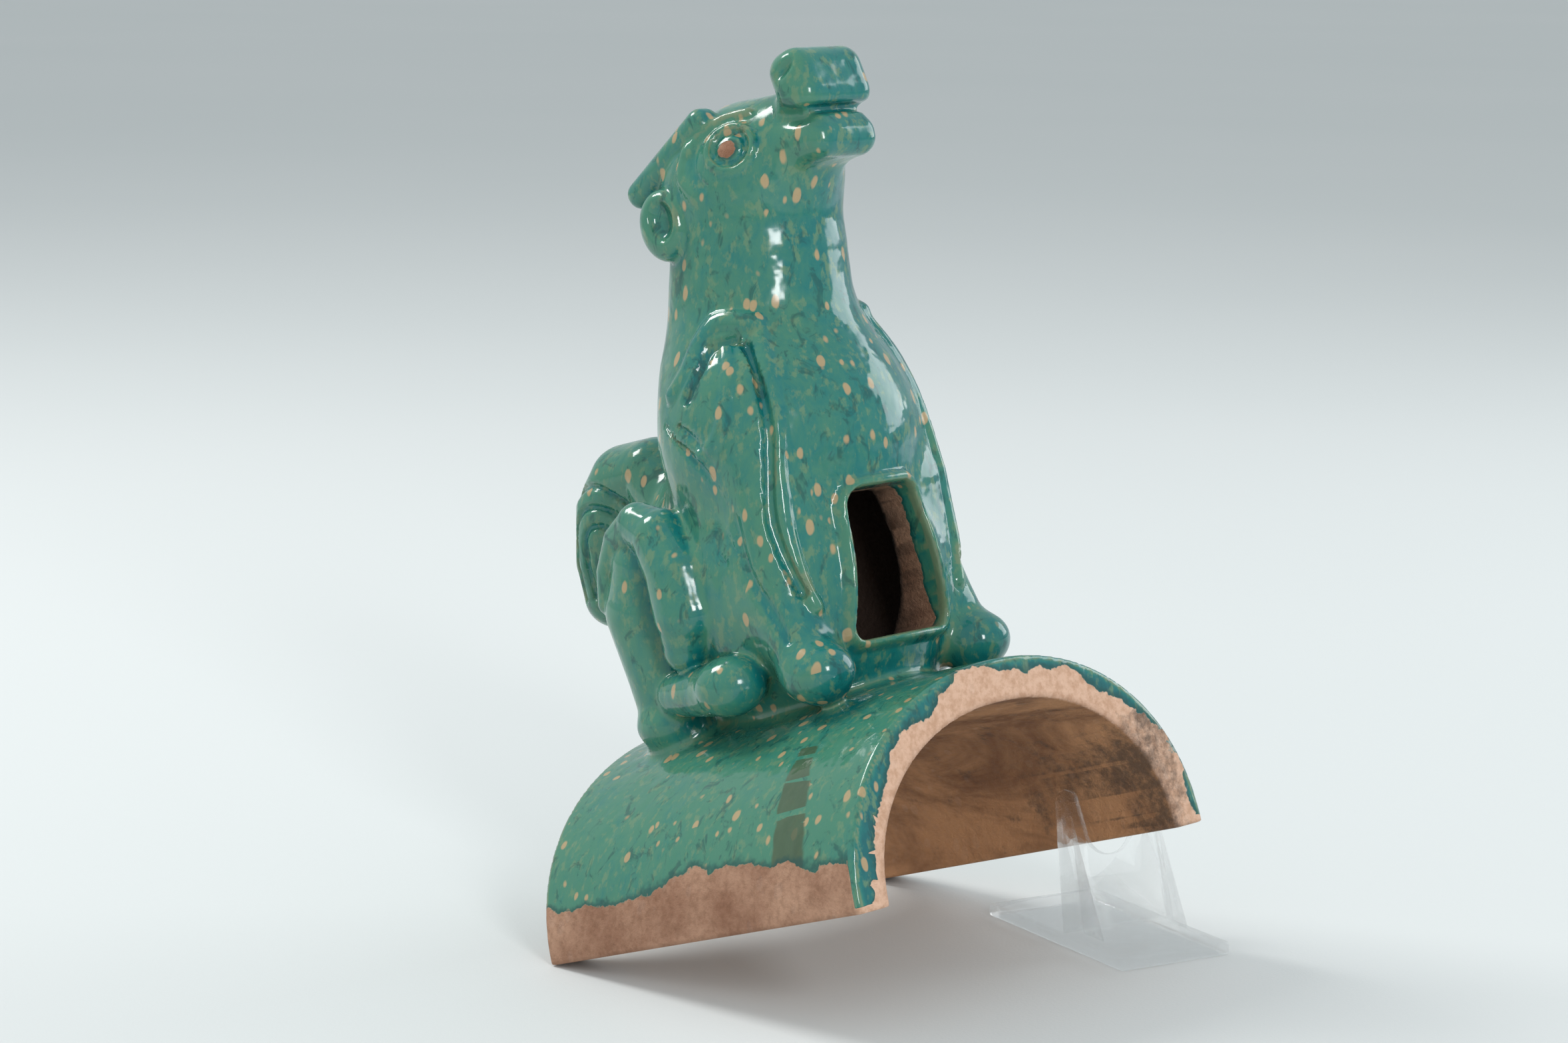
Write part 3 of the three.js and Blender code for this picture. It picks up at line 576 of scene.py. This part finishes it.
def pottery():
    """Glaze over clay. Attributes in mm: glaze > 0 where glazed, drip < 0 in the run. From 0 to 1:
    edge and pit for ridges and grooves, a painted shade that makes the teal deepest and bluest on faces
    turned to the front right, and inside, pale, dirt and the painted shade of the body's hollow."""
    g = Graph("glazed_pottery")
    lined = g.stretched((1, 1, 0.6))
    shift = g.node("VectorMath", {
        0: g.node("TexNoise", {"Vector": lined, "Scale": 160.0}).outputs["Color"],
        1: (WARP, WARP, WARP)}, operation="MULTIPLY").outputs[0]
    warped = g.node("VectorMath", {0: lined, 1: shift}, operation="ADD").outputs[0]
    fine = g.noise(420, 3, 0.6)
    glaze, spots = glaze_colour(g, lined, warped, g.attribute("edge"))

    reach = g.math("ADD", g.attribute("glaze"), g.step(g.noise(60, 4, 0.65), 0.2, 0.8, -3.0, 3.0))
    glazed = g.step(reach, -0.25, 0.25)
    rim = g.math("MULTIPLY", g.step(reach, 2.6, 0.3), glazed)
    glaze = g.mix(g.math("MULTIPLY", rim, 0.75), glaze, GLAZE_RIM)
    color = g.mix(glazed, clay_colour(g, fine), glaze)

    crinkle = g.voronoi(260, warped, "SMOOTH_F1")
    soft = g.bump(g.math("ADD", g.noise(95, 2, 0.5), g.math("MULTIPLY", crinkle, 0.22)), 0.0011, 0.55)
    lumps = g.math("MULTIPLY", g.noise(90, 4, 0.6), 1.5)
    grit = g.bump(g.math("ADD", g.noise(500, 5, 0.75), lumps), 0.0009, 0.9)
    normal = g.node("Mix", data_type="VECTOR", clamp_factor=True)
    for index, value in ((0, glazed), (4, grit), (5, soft)):
        g.put(normal.inputs[index], value)
    rough = g.blend(glazed, g.step(fine, 0.3, 0.7, 0.72, 0.92), g.step(g.noise(70, 3), 0.3, 0.7, 0.07, 0.17))
    rough = g.blend(g.math("MULTIPLY", spots, 0.5), rough, 0.28)
    return g.finish(Base_Color=color, Roughness=rough, Normal=normal.outputs[1], IOR=1.55)


def clear_acrylic():
    g = Graph("clear_acrylic_polished")
    scuff = g.bump(g.noise(60, 3), 0.0002, 0.25)
    rough = g.step(g.noise(400, 4, 0.7), 0.55, 0.75, 0.015, 0.09)
    g.shader.inputs["Transmission Weight"].default_value = 1.0
    g.shader.inputs["IOR"].default_value = 1.49
    g.shader.inputs["Base Color"].default_value = (0.97, 0.985, 0.99, 1)
    g.shader.inputs["Alpha"].default_value = 0.3
    return g.finish(Roughness=rough, Normal=scuff)


# --- the stand ---------------------------------------------------------------------------------

STAND_TURN = math.radians(-16)
STAND_CORNER = (63.0, -56.0)           # of the plate, from the middle of the tile's rear bottom edge
WIDTH, DEPTH, PLATE = 42.5, 76.0, 4.5
SHEET, SHEET_FOOT, HEIGHT = 3.0, 44.0, 50.0
LEAN = math.radians(14)
PRONG_FOOT, PRONG_TOP, PRONG_INSET = 10.5, 7.5, 3.0
SADDLE, DROP = 8.8, 4.6                # the saddle's radius, and how far its bottom lies below the wall
FIN_INSET, FIN_HEIGHT, FIN_FOOT, FIN_TOP = 3.5, 0.82 * HEIGHT, 14.0, 3.0
PLATE_MARGIN = 0.3
STANDING = Matrix(((0, 0, 1, 0), (1, 0, 0, 0), (0, 1, 0, 0), (0, 0, 0, 1)))   # x, y to y, z


def prism(name, outline, depth, place, bevel):
    """An outline in x and y extruded by depth along z, then put in place, with rounded edges."""
    work = bmesh.new()
    ring = [work.verts.new((x * MM, y * MM, 0)) for x, y in outline]
    face = work.faces.new(ring)
    lifted = bmesh.ops.extrude_face_region(work, geom=[face])["geom"]
    raised = [v for v in lifted if isinstance(v, bmesh.types.BMVert)]
    bmesh.ops.translate(work, vec=(0, 0, depth * MM), verts=raised)
    bmesh.ops.recalc_face_normals(work, faces=work.faces)
    sharp = [e for e in work.edges if e.calc_face_angle(0) > 0.6]
    bmesh.ops.bevel(work, geom=sharp, offset=bevel * MM, segments=2, profile=0.6, affect="EDGES",
                    clamp_overlap=True)
    work.transform(place)
    mesh = bpy.data.meshes.new(name)
    work.to_mesh(mesh)
    work.free()
    piece = bpy.data.objects.new(name, mesh)
    bpy.context.scene.collection.objects.link(piece)
    return piece


def arc(cx, cy, radius, start, end, count):
    return [(cx + radius * math.cos(a), cy + radius * math.sin(a)) for a in np.linspace(start, end, count)]


def sheet_outline():
    """The two-pronged sheet, with the round saddle where the tile's wall sits between the prongs."""
    forward = SHEET_FOOT * math.cos(STAND_TURN) - WIDTH / 2 * math.sin(STAND_TURN) - STAND_CORNER[1]
    back = math.tan(LEAN) * math.cos(STAND_TURN)
    seat = forward * math.tan(PITCH) / (1 + back * math.tan(PITCH)) / math.cos(LEAN) - DROP + SADDLE
    middle, half = WIDTH / 2, PRONG_TOP / 2
    right = [(WIDTH - 0.5, PLATE / 2)]
    right += arc(WIDTH - PRONG_INSET - half, HEIGHT - half, half, 0, math.pi, 9)
    right += [(max(middle + SADDLE, WIDTH - PRONG_FOOT - PRONG_INSET), seat)]
    saddle = arc(middle, seat, SADDLE, 0, -math.pi, 15)
    left = [(WIDTH - x, y) for x, y in reversed(right)]
    return right + saddle[1:-1] + left


def fin_outline():
    """A buttress on the front of a prong, from the plate up along the leaning sheet."""
    reach = FIN_HEIGHT * math.tan(LEAN) - SHEET_FOOT - 1
    return [(-SHEET_FOOT - 1, PLATE / 2), (reach, FIN_HEIGHT), (reach - FIN_TOP, FIN_HEIGHT),
            (-SHEET_FOOT - 1 - FIN_FOOT, PLATE / 2)]


def stand():
    near, far = PLATE_MARGIN, WIDTH - PLATE_MARGIN
    flat = [(near, near - DEPTH), (far, near - DEPTH), (far, -near), (near, -near)]
    base = prism("clear_stand", flat, PLATE, Matrix.Identity(4), 1.2)
    upright = Matrix.Translation((0, -SHEET_FOOT * MM, 0)) @ Matrix.Rotation(math.pi / 2 - LEAN, 4, "X")
    parts = [prism("uprights", sheet_outline(), SHEET, upright, 0.5)]
    for side in (FIN_INSET, WIDTH - FIN_INSET - SHEET):
        place = Matrix.Translation((side * MM, 0, 0)) @ STANDING
        parts.append(prism("fin", fin_outline(), SHEET, place, 0.4))
    for part in parts:
        join = base.modifiers.new("join", "BOOLEAN")
        join.operation, join.solver, join.object = "UNION", "EXACT", part
    applied(base)
    for part in parts:
        bpy.data.objects.remove(part)
    origin = Vector((OFFSET[0] + STAND_CORNER[0], OFFSET[1] + STAND_CORNER[1], 0)) * MM
    base.data.transform(Matrix.Translation(origin) @ Matrix.Rotation(STAND_TURN, 4, "Z"))
    base.data.materials.append(clear_acrylic())
    base.data.shade_smooth()
    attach(base, "root")
    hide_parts("display_stand")


# --- masks on the sculpture --------------------------------------------------------------------

BARE, FAR = -6, 20                 # mask values well inside bare clay, and far from an edge
BAND = 18                          # height of the clay band along the sides
PUPIL = (EYE[0] + 2, EYE[1], EYE[2])
DRIP_HEIGHTS = [0, 8, 18, 29, 40, 49]
DRIP_CENTRES = [31, 30, 28, 28, 30, 33]


def glaze_mask(points, inner, hollow):
    """How far inside the glaze each point lies, in mm, below 0 on clay."""
    x, y, z = points.T
    window = window_outline(points.astype(np.float32))
    in_window = (np.maximum(window, y - 66) < 0.6) & (y > 30)
    left_front = np.clip((-x - 20) / 40, 0, 1)
    lap = arch(points.astype(np.float32), HALF_WIDTH, RISE) + 3.5 + 2.0 * np.sin(x / 6.5) + 2.5 * left_front
    side = z - BAND + 2.5 * np.sin(y / 17 + 1)
    glaze = np.where(y < 1.6, lap, side)
    glaze = np.minimum(glaze, np.where((inner < 3) | (z < 1.5), BARE, FAR))
    glaze = np.minimum(glaze, np.where(z > BODY_FLOOR - 2, np.minimum(hollow * 3 - 3, FAR), FAR))
    glaze = np.minimum(glaze, np.where(in_window, (38 - y) * 1.5, FAR))
    pupil = np.linalg.norm(np.abs(points) - PUPIL, axis=1)
    return np.minimum(glaze, np.maximum(pupil - 3.2, BARE) * 2)


def dress(piece, points, normals):
    """The masks that the pottery material reads, on the mesh's points."""
    mesh = piece.data
    x, y, z = points.T
    inner = arch(points.astype(np.float32), HALF_WIDTH - WALL, RISE - WALL)
    hollow = cavity(points.astype(np.float32))
    on_inside = bump(np.maximum(inner - 0.3, 0), 2.0)
    below = evaluate(outer, points - 3.0 * normals)
    above = evaluate(outer, points + 3.0 * normals)
    attribute(mesh, "edge", np.clip((3 + below) / 1.8, 0, 1))
    attribute(mesh, "pit", np.clip((3 - above) / 1.8, 0, 1))
    # painted shade: 0 to 1 as a face turns to the front right, read as a deeper teal
    attribute(mesh, "front_right_shade", np.clip(normals[:, 0] * 0.5 - normals[:, 1] * 0.5 + 0.2, 0, 1))
    attribute(mesh, "glaze", glaze_mask(points, inner, hollow))
    width = np.interp(z, [0, 20, 40, 50, 54], [7.5, 7.0, 5.0, 3.0, -3.0])
    run = np.abs(y - np.interp(z, DRIP_HEIGHTS, DRIP_CENTRES)) - width
    attribute(mesh, "drip", np.where(x < -30, run, FAR))
    attribute(mesh, "inside", on_inside * (y > 1.2))
    attribute(mesh, "pale", bump(np.maximum(y, 0), 2.5) * (1 - on_inside * 0.3))
    attribute(mesh, "dirt", np.clip(1 - np.hypot(x - 62, y - 8) / 30, 0, 1) * (z < 40))
    # painted shade: 1 on the walls of the body's hollow
    attribute(mesh, "hollow_shade", bump(np.maximum(hollow - 0.3, 0), 2.5) * (z > BODY_FLOOR - 2))


glazed, tile_points, tile_normals = sculpture()
dress(glazed, tile_points, tile_normals)
glazed.data.vertices.foreach_set("co", to_row(tile_points).astype(np.float32).ravel())
glazed.data.update()
glazed.data.shade_smooth()
glazed.data.normals_split_custom_set_from_vertices((tile_normals @ TURN.T).tolist())
glazed.data.materials.append(pottery())
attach(glazed, "root")
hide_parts("ridge_tile_beast")
stand()

# --- floor, lights and camera ------------------------------------------------------------------

FLOOR = 40.0                       # metres from the middle to an edge
CENTRE = (0.0, 0.0, 0.13)          # what the lights are aimed at

corners = [(-FLOOR, -FLOOR, 0), (FLOOR, -FLOOR, 0), (FLOOR, FLOOR, 0), (-FLOOR, FLOOR, 0)]
floor = new_mesh("floor", corners, np.array([(0, 1, 2), (0, 2, 3)]))
paper = Graph("pale_floor")
tint = paper.mix(paper.noise(1.2, 2), (0.66, 0.69, 0.69), (0.70, 0.72, 0.72))
tooth = paper.bump(paper.noise(900), 0.0002, 0.3)
floor.data.materials.append(paper.finish(Base_Color=tint, Roughness=0.75, Normal=tooth))


def softbox(name, place, width, height, power, tint):
    lamp = bpy.data.lights.new(name, "AREA")
    lamp.shape, lamp.size, lamp.size_y = "RECTANGLE", width, height
    lamp.energy, lamp.color = power, tint
    holder = bpy.data.objects.new(name, lamp)
    holder.location = place
    holder.rotation_euler = (Vector(CENTRE) - Vector(place)).to_track_quat("-Z", "Y").to_euler()
    bpy.context.scene.collection.objects.link(holder)


softbox("key", (-0.45, 1.3, 1.6), 0.7, 0.7, 22, (1.0, 0.99, 0.97))
softbox("front", (-0.75, -1.5, 0.85), 0.35, 0.55, 11, (1, 1, 1))
softbox("right", (1.5, -0.5, 0.7), 0.9, 0.9, 8, (0.97, 0.99, 1.0))

bpy.context.scene.view_settings.view_transform = "Standard"
world = bpy.context.scene.world or bpy.data.worlds.new("studio")
bpy.context.scene.world = world
world.use_nodes = True
background = world.node_tree.nodes["Background"]
background.inputs["Color"].default_value = (0.80, 0.86, 0.88, 1)
background.inputs["Strength"].default_value = 0.75

# a long lens from the front left, in the tile's frame
CAMERA_PLACE = (-902.08, -806.98, 59.25)
CAMERA_RIGHT, CAMERA_DOWN = (0.690253, -0.691474, -0.213108), (-0.115136, 0.185808, -0.975817)
LENS, SENSOR = 91.64, 36.0

lens = bpy.data.cameras.new("camera")
lens.lens, lens.sensor_width, lens.clip_end = LENS, SENSOR, 50
camera = bpy.data.objects.new("camera", lens)
bpy.context.scene.collection.objects.link(camera)
across = Vector(TURN @ np.array(CAMERA_RIGHT)).normalized()
up = -Vector(TURN @ np.array(CAMERA_DOWN))
up = (up - across * up.dot(across)).normalized()
toward = across.cross(up)
camera.matrix_world = (Matrix.Translation(Vector(to_row(CAMERA_PLACE)))
                       @ Matrix((across, up, toward)).transposed().to_4x4())
bpy.context.scene.camera = camera
